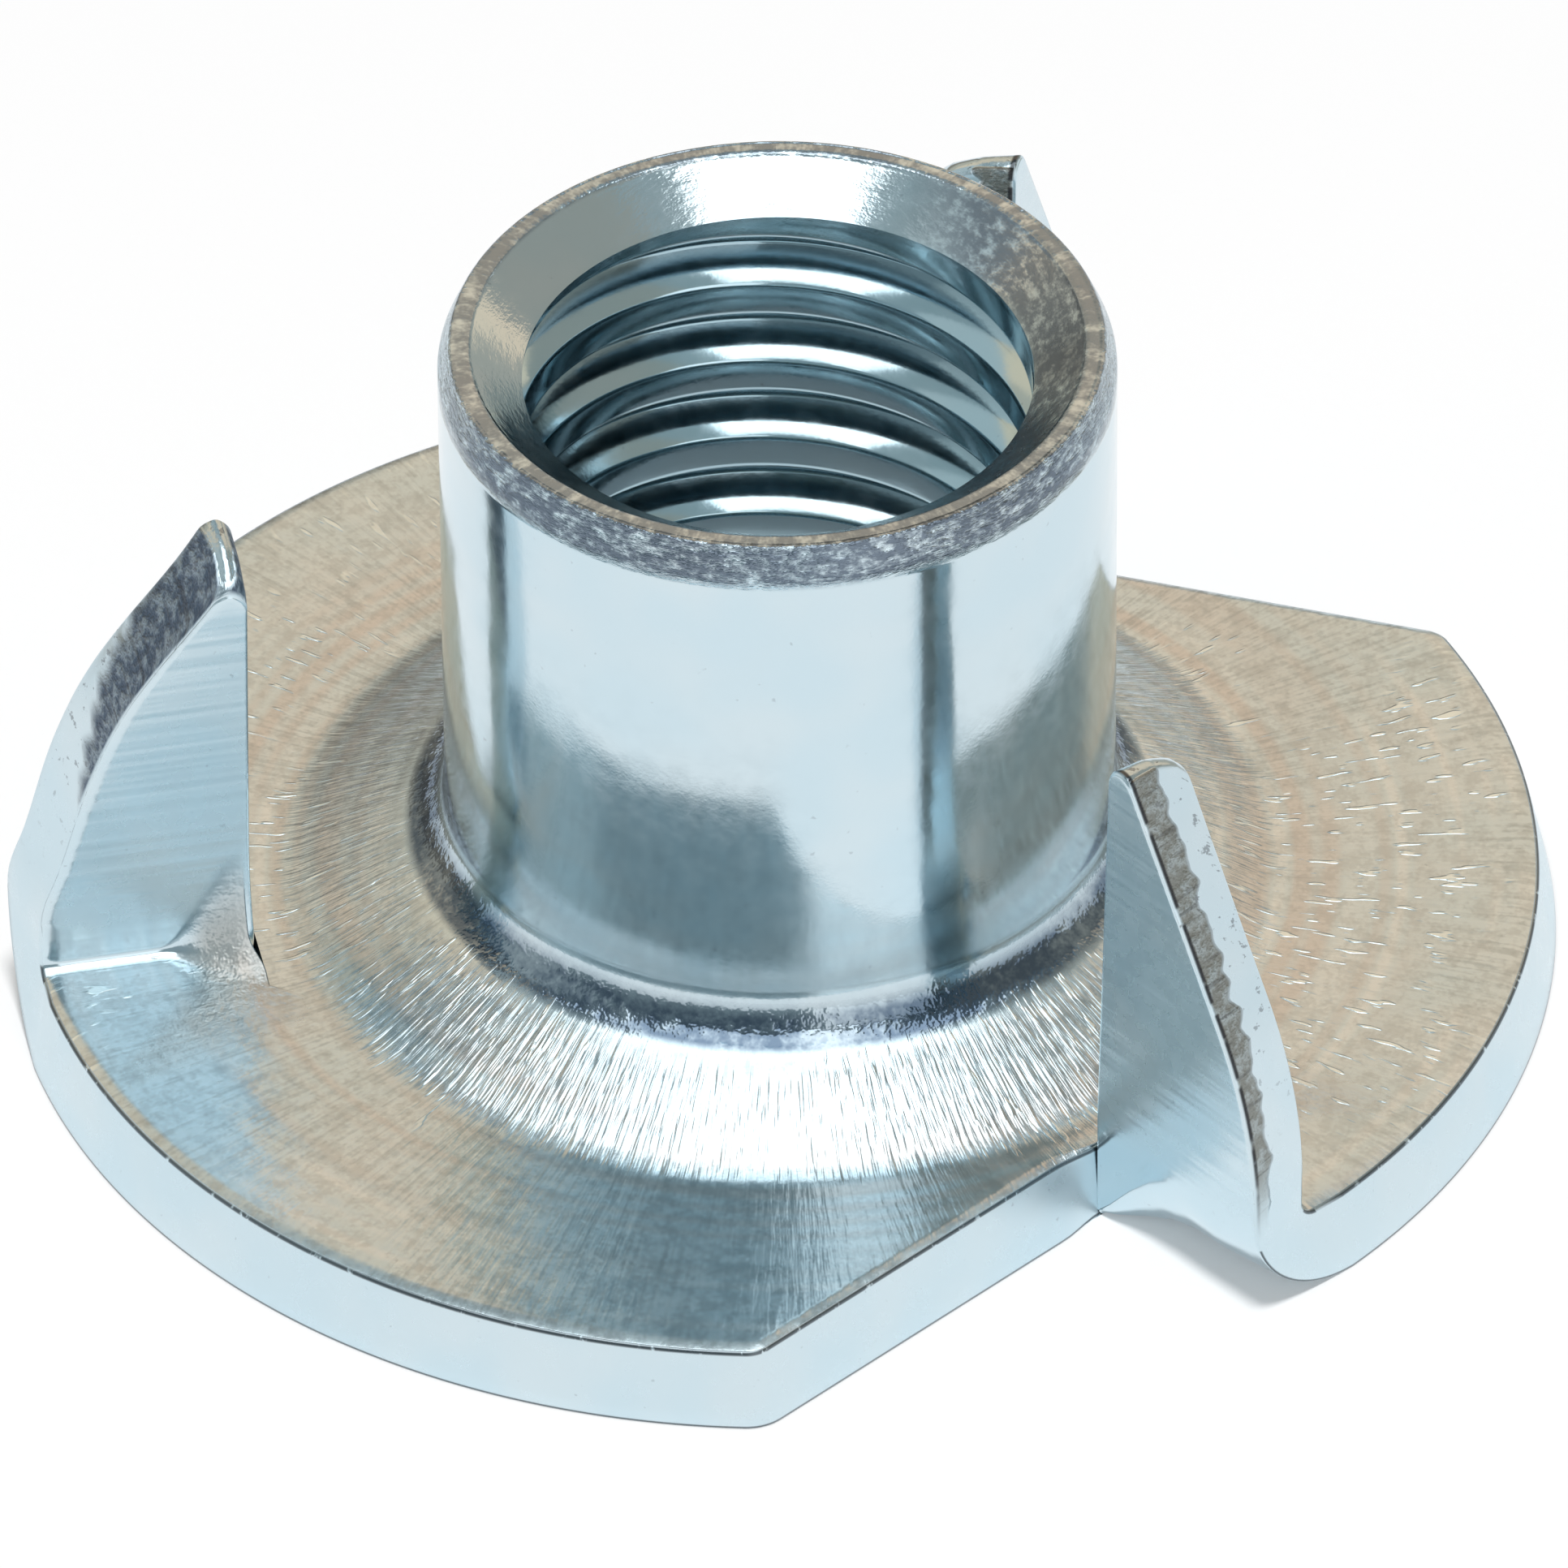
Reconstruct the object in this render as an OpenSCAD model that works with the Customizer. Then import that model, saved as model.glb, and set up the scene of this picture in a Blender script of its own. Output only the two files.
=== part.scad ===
// Tee nut for wood, size 3/8 inch, 16 threads per inch. One piece of sheet steel: a round
// flange, a shoulder that rises into a drawn and threaded barrel, and three prongs that are
// lanced from the flange and folded up beside the barrel.
// Origin: the centre of the flange's underside, on the thread axis. +Z runs up the barrel.

/* [Flange] */
// Diameter of the flange at its widest, the lower edge of the rim
flange_d = 25.4; // [24.6:0.1:27]
// Thickness of the sheet
sheet_t = 1.4; // [1.2:0.05:1.55]
// How far a sheared edge leans in between the underside and the top
edge_lean = 0.3; // [0.15:0.05:0.4]
// Radius of the rolled-over top of a sheared edge
edge_roll = 0.35; // [0.15:0.05:0.5]
// Radius of the foot of the raised shoulder, from the thread axis
shoulder_foot_r = 8.1; // [7.8:0.05:8.2]
// Slope of the shoulder, in degrees
shoulder_slope = 25; // [20:1:28]
// Radius of the soft blend at the foot of the shoulder
foot_blend = 2; // [1:0.1:2.2]

/* [Barrel] */
// Outside diameter of the barrel
barrel_d = 10.96; // [10.7:0.02:11.6]
// Height of the whole nut, from the flange's underside to the barrel's lip
total_h = 12.18; // [11.5:0.02:14]
// Radius of the fillet where the barrel rises from the shoulder
root_fillet = 0.8; // [0.4:0.1:1.1]
// Radial drop of the barrel's worn outer lip
lip_drop = 0.19; // [0.1:0.01:0.25]
// Height of the barrel's worn outer lip
lip_rise = 0.45; // [0.3:0.05:0.6]

/* [Thread] */
// Minor diameter of the thread, as a plain bore
bore_d = 8.25; // [7.9:0.01:8.4]
// Radius of the trumpet mouth under the flange
mouth_r = 1.6; // [1:0.1:2]
// Diameter of the countersink at the barrel's lip
sink_d = 9.86; // [9.3:0.02:10.1]
// Depth of the countersink
sink_h = 0.62; // [0.3:0.02:0.9]

/* [Prongs] */
// Bearing of the first prong's fold, in degrees from +X
prong_bearing = -48.5; // [-90:0.5:90]
// How far inside the rim the lanced slit lies, at half the sheet's thickness
slit_inset = 3.85; // [3.5:0.05:3.95]
// Turn of the slit against the fold, in degrees
slit_turn = 2; // [0.5:0.5:3]
// Inner radius of the prong's bend
bend_r = 0.8; // [0.5:0.05:1]
// How much thinner than the flange the folded sheet is
fold_thin = 0.02; // [0.01:0.01:0.1]
// Distance from the fold's bearing line to the prong's outer face
prong_back = 1.1; // [0.8:0.05:1.4]
// Height of the first two prongs' tips, from the flange's underside
prong_h = 9.6; // [8.5:0.05:11]
// How much lower the third prong's tip is
prong_drop = 0.3; // [0:0.05:0.8]
// Radius of the curve at the foot of the prong's outer edge
prong_edge_r = 6.9; // [6:0.1:8]
// Slope of the straight run of the prong's outer edge, in degrees from upright
prong_slope = 29.5; // [26:0.5:31]
// Radius of the rounded corner of the prong's tip
tip_r = 0.3; // [0.2:0.01:0.35]
// Radius of the flange's corners beside the slits
corner_r = 0.8; // [0.5:0.1:1.2]

/* [Hidden] */
$fn = 96;

prongs = 3;
flange_r = flange_d / 2;
barrel_r = barrel_d / 2;
bore_r = bore_d / 2;
sink_r = sink_d / 2;
lip_r = barrel_r - lip_drop;
slit_r = flange_r - slit_inset;
far = 1.3 * flange_r;

// An arc crosses its neighbours by this much, in mm or in degrees, where it would just touch
arc_over = 0.002;
arc_turn = 1.5;

// Both faces of the shoulder slope alike, one sheet thickness apart
rise = tan(shoulder_slope);
sheet_drop = sheet_t / cos(shoulder_slope);
hollow_foot_r = shoulder_foot_r - (sheet_drop - sheet_t) / rise;

// A prong and its bend, whose axis lies above the flange and beside the prong. Its outer edge
// starts a little inside the rim, on a whole micrometre, so that bend and blade share one face.
rim_gap = 0.02;
prong_t = sheet_t - fold_thin;
bend_out = bend_r + prong_t;
bend_y = bend_out - prong_back;
fold_in = slit_r + rim_gap;
fold_out = round(1000 * sqrt(flange_r * flange_r - bend_y * bend_y)) / 1000 - rim_gap;
lean = edge_lean / sheet_t;

// 2-D: the material between a corner at p, with neighbours a and b, and a circle of radius r
// that touches both sides. Taken away it rounds a corner.
module corner(p, a, b, r) {
    u = (a - p) / norm(a - p);
    v = (b - p) / norm(b - p);
    half = acos(u * v) / 2;
    centre = p + (u + v) / norm(u + v) * r / sin(half);
    kite = [p + u * r / tan(half), p, p + v * r / tan(half)];
    difference() {
        polygon([centre, for (q = kite) centre + 1.1 * (q - centre)]);
        translate(centre) circle(r + arc_over);
    }
}

// 2-D: half section of flange, shoulder and barrel, as radius and height
module body_section() {
    mouth = [bore_r, rise * (hollow_foot_r - bore_r)];
    hollow_foot = [hollow_foot_r, 0];
    rim_low = [flange_r, 0];
    rim_top = [flange_r - edge_lean, sheet_t];
    foot = [shoulder_foot_r, sheet_t];
    root = [barrel_r, sheet_t + rise * (shoulder_foot_r - barrel_r)];
    lip_low = [barrel_r, total_h - lip_rise];
    lip_top = [lip_r, total_h];
    sink_top = [sink_r, total_h];
    sink_low = [bore_r, total_h - sink_h];
    difference() {
        polygon([mouth, hollow_foot, rim_low, [flange_r, total_h],
                 lip_top, sink_top, sink_low]);
        // the air above the flange and around the barrel
        difference() {
            polygon([[far, sheet_t], rim_top, foot, root, lip_low, lip_top,
                     [lip_r, far], [far, far]]);
            corner(foot, rim_top, root, foot_blend);
            corner(root, foot, lip_low, root_fillet);
        }
        // the air outside the leaning rim
        polygon([rim_low, [far, 0], [far, 2 * sheet_t], 2 * rim_top - rim_low]);
        corner(mouth, sink_low, hollow_foot, mouth_r);
        corner(hollow_foot, mouth, rim_low, foot_blend);
        corner(rim_top, rim_low, foot, edge_roll);
    }
}

// 2-D: a prong's sheared edge at the origin, rolled over at the top; w reaches into the sheet
module edge_section(w) {
    top = [-edge_lean, prong_t];
    difference() {
        polygon([[-w, 0], [0, 0], top, [-w, prong_t]]);
        corner(top, [0, 0], [-w, prong_t], edge_roll);
    }
}

// 2-D: the air outside such an edge, past both faces of the sheet
module edge_waste() {
    top = [-edge_lean, prong_t];
    polygon([-top, [far, -prong_t], [far, 2 * prong_t], 2 * top]);
    corner(top, [0, 0], [-1, prong_t], edge_roll);
}

// The space that a prong leaves in the flange, in the frame of its fold: +X out along the fold
module notch() {
    low_r = slit_r + edge_lean / 2;
    centre = [low_r, -sqrt(pow(flange_r - corner_r, 2) - pow(low_r - corner_r, 2))]
             - [corner_r, 0];
    out = centre / norm(centre);
    round_r = corner_r + arc_over;
    reach = 2.5 * corner_r;
    // the cuts run from one sheet thickness below the flange to one above it
    low = -sheet_t;
    high = 2 * sheet_t;
    // the leaning wall along the slit, which ends at the bend
    intersection() {
        translate([0, bend_y - far, low]) cube([far, far, high - low]);
        rotate([0, 0, slit_turn]) translate([0, bend_out, 0]) rotate([90, 0, 0])
            linear_extrude(far)
                polygon([[low_r - lean * low, low], [far, low],
                         [far, high], [low_r - lean * high, high]]);
    }
    // the rounded corner where the slit runs out through the rim
    rotate([0, 0, slit_turn])
        difference() {
            translate([0, 0, low]) linear_extrude(high - low)
                polygon([centre, centre + [reach, 0], centre + [reach, -reach],
                         centre + reach * out]);
            translate([centre.x, centre.y, low])
                cylinder(h = high - low, r1 = round_r - lean * low,
                         r2 = round_r - lean * high);
        }
}

// The quarter bend between flange and prong, with the same cut edge as the rim
module bend() {
    translate([0, bend_y, bend_out]) rotate([-90, 0, 0]) rotate([0, 90, 0])
        rotate_extrude(angle = 90)
            translate([bend_out, fold_out]) rotate([0, 0, 90]) edge_section(fold_out - fold_in);
}

// The upright blade of a prong with its tip at height h, standing on the bend
module blade(h) {
    foot = [fold_out - prong_edge_r, bend_out];
    out = [cos(prong_slope), sin(prong_slope)];
    wide = prong_edge_r + 2;
    intersection() {
        difference() {
            union() {
                // the foot, whose outer edge curves inwards from upright
                translate([foot.x, -prong_back, foot.y]) rotate([-90, 0, 0]) mirror([0, 1, 0])
                    rotate_extrude(angle = prong_slope + 2 * arc_turn)
                        translate([prong_edge_r, 0]) edge_section(prong_edge_r - 1);
                // the plate above it
                translate([0, prong_t - prong_back, 0]) rotate([90, 0, 0]) linear_extrude(prong_t)
                    polygon([foot + out, foot + wide * out,
                             [foot.x + wide * out.x, far], [foot.x + out.x, far]]);
            }
            // the straight run of the outer edge
            translate([foot.x, -prong_back, foot.y]) rotate([0, -prong_slope, 0])
                translate([prong_edge_r * cos(arc_turn), 0, -0.5]) linear_extrude(far)
                    edge_waste();
        }
        // the upright inner edge, and the tip with its inner corner rounded
        translate([0, far / 2, 0]) rotate([90, 0, 0]) linear_extrude(far) difference() {
            translate([fold_in, 0]) square([far, h]);
            corner([fold_in, h], [fold_in, 0], [far, h], tip_r);
        }
    }
}

// The whole nut
module tee_nut() {
    color([0.72, 0.76, 0.79])
    union() {
        difference() {
            rotate_extrude() body_section();
            for (i = [0 : prongs - 1])
                rotate([0, 0, prong_bearing - i * 360 / prongs]) notch();
        }
        for (i = [0 : prongs - 1])
            rotate([0, 0, prong_bearing - i * 360 / prongs]) {
                bend();
                blade(prong_h - (i == prongs - 1 ? prong_drop : 0));
            }
    }
}

tee_nut();
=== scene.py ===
import math
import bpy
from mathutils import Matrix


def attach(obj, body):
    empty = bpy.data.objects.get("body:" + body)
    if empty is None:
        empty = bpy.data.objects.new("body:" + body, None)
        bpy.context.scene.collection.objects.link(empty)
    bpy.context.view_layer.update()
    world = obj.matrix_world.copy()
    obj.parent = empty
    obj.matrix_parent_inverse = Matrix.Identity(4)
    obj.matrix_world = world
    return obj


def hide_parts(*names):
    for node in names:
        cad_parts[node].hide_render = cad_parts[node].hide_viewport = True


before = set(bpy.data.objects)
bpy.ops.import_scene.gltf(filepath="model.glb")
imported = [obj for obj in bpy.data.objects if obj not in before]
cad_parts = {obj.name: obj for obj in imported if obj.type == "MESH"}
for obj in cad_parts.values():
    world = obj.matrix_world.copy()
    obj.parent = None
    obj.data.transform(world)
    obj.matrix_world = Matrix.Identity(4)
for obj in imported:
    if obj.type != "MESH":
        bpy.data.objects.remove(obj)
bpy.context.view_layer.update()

from types import SimpleNamespace

import bmesh
import bpy
import numpy as np
from mathutils import Matrix
from mathutils.geometry import delaunay_2d_cdt

# ---------------------------------------------------------------- sizes, in mm and radians
MM = 0.001
UP = np.array([0, 0, 1.0])

# the sheet, the flange's rim and the slits beside the prongs
SHEET_T = 1.4
RIM_R = 12.7
SLIT_R = 9.0
SLIT_TURN = math.radians(2)
SLIT_CORNER_R = 0.8

# The middle is revolved and starts at a ring on each face of the sheet. Its points that lie out
# past the low ring, or nearer to it than RING_WELD, are points of the rings.
RING_TOP_R = 8.44
RING_LOW_R = 8.35
RING_STEPS = 360
RING_WELD = 0.02

# the bend and the blade of a prong, in the frame of its fold: x runs out along the fold
BEND_OUT = 2.18
BEND_Y = 1.08
BLADE_T = 1.38
BLADE_Y = BEND_Y - BEND_OUT
FOLD_IN = 8.87
FOLD_OUT = math.sqrt(RIM_R ** 2 - BEND_Y ** 2)
EDGE_R = 6.9
EDGE_SLOPE = math.radians(29.5)

# the bend's outer radius at some distances along the fold, almost a corner at the slit's end
OUTER_BEND_X = (8.9, 9.2, 9.7, 10.2, 10.8, 11.5, 12.0, 12.66)
OUTER_BEND_R = (.12, .4, 1.05, 1.55, 1.8, 1.85, 2.0, 2.18)
# run and rise of the bend's inner face: a tight crease that opens out at the slit's end
CREASE = (0.2, 0.2)
OPENED = (1.15, 2.0)
CREASE_X = 10.4
OPENING = 1.4

# the second prong's outer edge against an arc with a straight run: height, and mm outwards
BULGE_Z = (2.18, 2.8, 3.35, 4.12, 4.88, 5.63, 6.36, 7.05, 7.76, 8.45, 9.14)
BULGE_X = (0, -.09, -.16, -.09, .08, .22, .29, .23, .08, -.09, -.14)

# radius of the tip's corner, at some shares of the way through the sheet
TIP_H = (0, 0.5, 0.85, 1)
TIP_R = (0.27, 0.21, 0.22, 0.27)

# A cut edge has 20 rows of points, each with an inward offset and a height through the sheet.
# EDGE and LEAN give the sheared rim, SLIT the same with a narrower roll, SQUARE the inner edge of
# a prong and SEAM the end of a slit.
ROWS = range(20)
OUTER_SIDE, INNER_SIDE = ROWS[0], ROWS[-1]
BURR_ROW = 4
ROLL_ROW = 12
EDGE_H = np.array([0, 0, .006, .025, .06, .25, .45, .65, .85, 1.05, 1.2, 1.29,
                   1.325, 1.345, 1.355, 1.368, 1.382, 1.392, 1.398, 1.4])
LEAN_D = np.array([.10, .05, .022, .006, 0, .044, .09, .137, .183, .23, .264, .285,
                   .297, .32, .35, .40, .46, .52, .58, .64])
SLIT_D = np.array([.10, .05, .022, .006, 0, .044, .09, .137, .183, .23, .264, .285,
                   .295, .312, .335, .37, .41, .45, .485, .52])
SQUARE_H = np.array([0, 0, .006, .025, .06, .25, .45, .65, .85, 1.05, 1.2, 1.29,
                     1.325, 1.36, 1.382, 1.393, 1.398, 1.4, 1.4, 1.4])
SQUARE_D = np.array([.10, .05, .022, .006, 0, 0, 0, 0, 0, 0, 0, .002,
                     .006, .02, .045, .075, .11, .15, .18, .21])
SEAM_H = np.linspace(0, SHEET_T, len(ROWS))
# the inner edge of a prong leans like the slit that it was cut from
SEAM_D = 0.10 - 0.18 * SEAM_H / SHEET_T
# how much each row belongs to the cut edge, for its finish
CUT_MASK = [1.0 if 3 <= j <= 13 else (0.5 if j in (2, 14) else 0.0) for j in ROWS]

# A slit's wall starts in the direction of the seam and with its section. At these distances from
# the seam, as start and length, it takes its own direction and the section of a slit.
WALL_TURNS = (2.05, 1.0)
WALL_LEANS = (1.3, 0.5)
WALL_STRAIGHTENS = (0, 1.9)
# keeps the wall from touching the prong's inner edge, which leaves the same seam
SEAM_GAP = 0.005
# A blade's sheared edge has this share of the rim's roll, which starts at this inward offset. Its
# inner edge leans by BLADE_LEAN and has this share of the square edge's offset.
ROLL_SHARE = 0.3
ROLL_START = 0.285
BLADE_LEAN = 0.02
SQUARE_SHARE = 0.55

# how many steps each stretch of an edge has
WALL_STEPS = 44
CORNER_STEPS = 12
RIM_STEPS = 100
BEND_STEPS = 30
ARC_STEPS = 18
RUN_STEPS = 24
TIP_STEPS = 16
DOWN_STEPS = 20
ACROSS_STEPS = 26
FOOT_STEPS = 7

# the barrel and its lip, the hollow underneath, and the thread
SHOULDER_R = 8.1
SHOULDER_SLOPE = math.radians(25)
SHOULDER_FILLET = 1.5
ROOT_FILLET = 0.85
BARREL_R = 5.48
BARREL_TOP_Z = 11.62
LIP_Z = 11.75
LIP_R = 5.29
LIP_FILLET = 0.3
TOP_Z = 12.18
TOP_FILLET = 0.1
SINK_R = 5.0
SINK_SLOPE = 0.6 / 0.78
SINK_FILLET = 0.2
BORE_R = 4.0
MOUTH_FILLET = 1.6
HOLLOW_FILLET = 1.2
PITCH = 1.5875
MINOR_R = 4.12
THREAD_START = 11.06
THREAD_FADE = 10.85
FADE_LENGTH = 0.8
# the tap's turns, and how many turns and what share of one lie below the thread's start
TAP_TURNS = 10
TURNS_BELOW = 8
SHARE_BELOW = 0.25
TAP_STEPS = 144
# how far the cones at the tap's ends reach
CONE_LOW = 1
CONE_TOP = 2
# points of a half section that are nearer than this are one
SECTION_WELD = 1e-4
# one pitch of the tap, as height and radius
TAP_ROWS = [(0, 4.16), (.04, 4.128), (.10, 4.122), (.33, 4.12), (.56, 4.122), (.61, 4.128),
            (.65, 4.16), (.834, 4.46), (.99, 4.735), (1.05, 4.763), (1.12, 4.77), (1.19, 4.763),
            (1.25, 4.735), (1.41, 4.46)]

# an edge of the mesh that turns by more than this is shaded as a sharp one
SHARP = math.radians(40)


def smooth(t):
    t = min(max(t, 0.0), 1.0)
    return t * t * (3 - 2 * t)


def ramp(value, start, length):
    return smooth((value - start) / length)


def slowing(t):
    """Goes from 0 to 1 with t, in steps that get shorter towards 1."""
    return 1 - (1 - t) ** 1.6


def mix(a, b, t):
    return a * (1 - t) + b * t


class Prong:
    """The bearing of a prong's fold, and how its blade departs from the plain one."""

    def __init__(self, bearing, inset=0.0, inner_lean=0.035, bulge=0.0, wider_tip=0.0):
        self.bearing = math.radians(bearing)
        self.x = np.array([math.cos(self.bearing), math.sin(self.bearing), 0])
        self.y = np.array([-math.sin(self.bearing), math.cos(self.bearing), 0])
        self.inset = inset
        self.inner_lean = inner_lean
        self.bulge = bulge
        self.wider_tip = wider_tip

    def place(self, x, y, z):
        return self.x * x + self.y * y + UP * z


PRONGS = (Prong(-48.5),
          Prong(-168.5, inset=0.27, inner_lean=-0.012, bulge=1.0, wider_tip=0.10),
          Prong(71.5, inset=0.135))


# ---------------------------------------------------------------- the mesh
class Skin:
    """Vertices, faces and two attributes of one welded surface. Points that round to the same
    WELD-th part of a millimetre are one."""

    WELD = 20000
    FILL_WELD = 1e-7

    def __init__(self):
        self.co = []
        self.cut = []
        self.opened = []
        self.faces = []
        self.index = {}

    def point(self, p, cut=(0, 0, 0), opened=0.0):
        """The number of a vertex. cut is its place on a cut edge: length along, height, share."""
        key = tuple(int(round(c * self.WELD)) for c in p)
        if key in self.index:
            i = self.index[key]
            if cut[2] > self.cut[i][2]:
                self.cut[i] = cut
            return i
        self.index[key] = len(self.co)
        self.co.append(tuple(p))
        self.cut.append(tuple(cut))
        self.opened.append(opened)
        return self.index[key]

    def face(self, corners):
        kept = []
        for i in corners:
            if i not in kept:
                kept.append(i)
        if len(kept) > 2:
            self.faces.append(kept)

    def grid(self, rows):
        for a, b in zip(rows[:-1], rows[1:]):
            for i in range(len(a) - 1):
                self.face([a[i], a[i + 1], b[i + 1], b[i]])

    def fill(self, loops, flat, hole_r=0.0):
        """Triangles between closed loops of vertices, in the plane that flat() maps to.
        Those nearer to the middle than hole_r are left out."""
        ids = []
        edges = []
        for loop in loops:
            loop = [i for n, i in enumerate(loop) if i != loop[n - 1]]
            start = len(ids)
            ids += loop
            n = len(loop)
            edges += [(start + j, start + (j + 1) % n) for j in range(n)]
        points = [flat(self.co[i]) for i in ids]
        out, _, tris, origin, _, _ = delaunay_2d_cdt(points, edges, [], 1, self.FILL_WELD)
        back = [ids[o[0]] if o else None for o in origin]
        for tri in tris:
            if any(back[v] is None for v in tri):
                raise RuntimeError("a fill met a new point")
            middle = [sum(out[v][k] for v in tri) / 3 for k in (0, 1)]
            if math.hypot(*middle) >= hole_r:
                self.face([back[v] for v in tri])


class Column:
    """One cross-section of a cut edge: its points from the underside up, and their heights
    through the sheet. The length of the edge is measured from base to base."""

    def __init__(self, rows, h, base=None):
        self.rows = rows
        self.h = h
        self.base = rows[BURR_ROW] if base is None else base


def sheared(base, inward, d):
    """The column of a leaning edge above a point of the underside."""
    return Column([base + inward * d[j] + UP * EDGE_H[j] for j in ROWS], EDGE_H, base)


def inner_bend_size(x):
    """Run and rise of the bend's inner face."""
    k = smooth((CREASE_X - x) / OPENING)
    return mix(CREASE[0], OPENED[0], k), mix(CREASE[1], OPENED[1], k)


def inner_start(x):
    """Where the bend's inner face leaves the flange."""
    return max(BEND_Y, BLADE_Y + BLADE_T + inner_bend_size(x)[0])


def bend_point(t, run, rise, y_far, low, start):
    """A point of a bend's face: level ground, an elliptic arc, then upright, for t from 0 to 1."""
    level, upright = 0.1, 0.9
    room = BEND_OUT - low
    turn = math.acos(1 - room / rise) if rise > room else math.pi / 2
    share = upright if rise > room else upright - level
    a = turn * min(max((t - level) / share, 0), 1)
    y = y_far + run - run * math.sin(a)
    z = low + rise - rise * math.cos(a)
    if t < level:
        y += (start - (y_far + run)) * (1 - t / level)
    if t > upright and rise <= room:
        z += (room - rise) * (t - upright) / level
    return y, z


def outer_face(t, x):
    r = float(np.interp(x, OUTER_BEND_X, OUTER_BEND_R))
    return bend_point(t, r, r, BLADE_Y, 0.0, BEND_Y)


def inner_face(t, x):
    run, rise = inner_bend_size(x)
    return bend_point(t, run, rise, BLADE_Y + BLADE_T, SHEET_T, inner_start(x))


def between_faces(t, x_outer, x_inner, f):
    """A point at the share f of the way from the bend's outer face to its inner one."""
    oy, oz = outer_face(t, x_outer)
    iy, iz = inner_face(t, x_inner)
    return mix(oy, iy, f), mix(oz, iz, f)


def inner_y(x, z):
    """How far out the blade's inner face lies at the height z."""
    run, rise = inner_bend_size(x)
    short = max(SHEET_T + rise - z, 0) / rise
    return BLADE_Y + BLADE_T + run * (1 - math.sqrt(max(1 - short * short, 0)))


def opened_out(x, z):
    """How much a point of a bend's inner face is in the opened-out end, for finish and painted
    reflection.
    """
    run, rise = inner_bend_size(x)
    return smooth((run - 0.3) / 0.5) * smooth(1.3 * (SHEET_T + rise - z) / rise)


def bulge(z):
    """The bulge of the table above, rounded off between its points."""
    around = (-.45, -.3, -.15, 0, .15, .3, .45)
    return sum(float(np.interp(z + dz, BULGE_Z, BULGE_X)) for dz in around) / len(around)


def bulged(prong, base, x, z):
    """x moved by the bulge, which starts above the bend and leaves the inner edge alone."""
    share = ramp(x, base, 0.45) * ramp(z, BEND_OUT, 1.2)
    return x + prong.bulge * bulge(z) * share


def blade_level(prong, j):
    """Points (x, z) of row j of a blade's edge: up the outer side, round the tip and down."""
    h = EDGE_H[j] / SHEET_T
    rho = float(np.interp(h, TIP_H, TIP_R)) + prong.wider_tip
    # the roll of the edge is narrower than the rim's, and half way to it at the foot
    roll = LEAN_D[j] if j < ROLL_ROW else ROLL_START + ROLL_SHARE * (LEAN_D[j] - ROLL_START)
    foot_roll = mix(LEAN_D[j], roll, 0.5)
    base = FOLD_IN + BLADE_LEAN - BLADE_LEAN * h + SQUARE_SHARE * SQUARE_D[j]
    cx, cz = FOLD_OUT - EDGE_R, BEND_OUT
    out = []
    for i in range(1, ARC_STEPS + 1):
        a = EDGE_SLOPE * i / ARC_STEPS
        r = EDGE_R - foot_roll - prong.inset * smooth(i / ARC_STEPS)
        out.append((cx + r * math.cos(a), cz + r * math.sin(a)))
    # the tip's circle touches the straight run, moved in by roll, and the leaning inner edge
    sx, sz = cx + EDGE_R * math.cos(EDGE_SLOPE), cz + EDGE_R * math.sin(EDGE_SLOPE)
    nx, nz = -math.cos(EDGE_SLOPE), -math.sin(EDGE_SLOPE)
    lean = math.atan(prong.inner_lean)
    ix, iz = math.cos(lean), -math.sin(lean)
    kx, kz = np.linalg.solve(np.array([[nx, nz], [ix, iz]]),
                             np.array([roll + prong.inset + rho + nx * sx + nz * sz,
                                       rho + ix * base + iz * BEND_OUT]))
    x0, z0 = out[-1]
    x1, z1 = kx - nx * rho, kz - nz * rho
    for i in range(1, RUN_STEPS + 1):
        # the steps get shorter towards the tip
        t = i / RUN_STEPS
        t = t + 0.35 * t * (1 - t)
        out.append((x0 + (x1 - x0) * t, z0 + (z1 - z0) * t))
    turn = math.pi + lean - EDGE_SLOPE
    for i in range(1, TIP_STEPS + 1):
        a = EDGE_SLOPE + turn * i / TIP_STEPS
        out.append((kx + rho * math.cos(a), kz + rho * math.sin(a)))
    x0, z0 = out[-1]
    for i in range(1, DOWN_STEPS + 1):
        t = slowing(i / DOWN_STEPS)
        out.append((x0 + (base - x0) * t, z0 + (BEND_OUT - z0) * t))
    return [(bulged(prong, base, x, z), z) for x, z in out]


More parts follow.
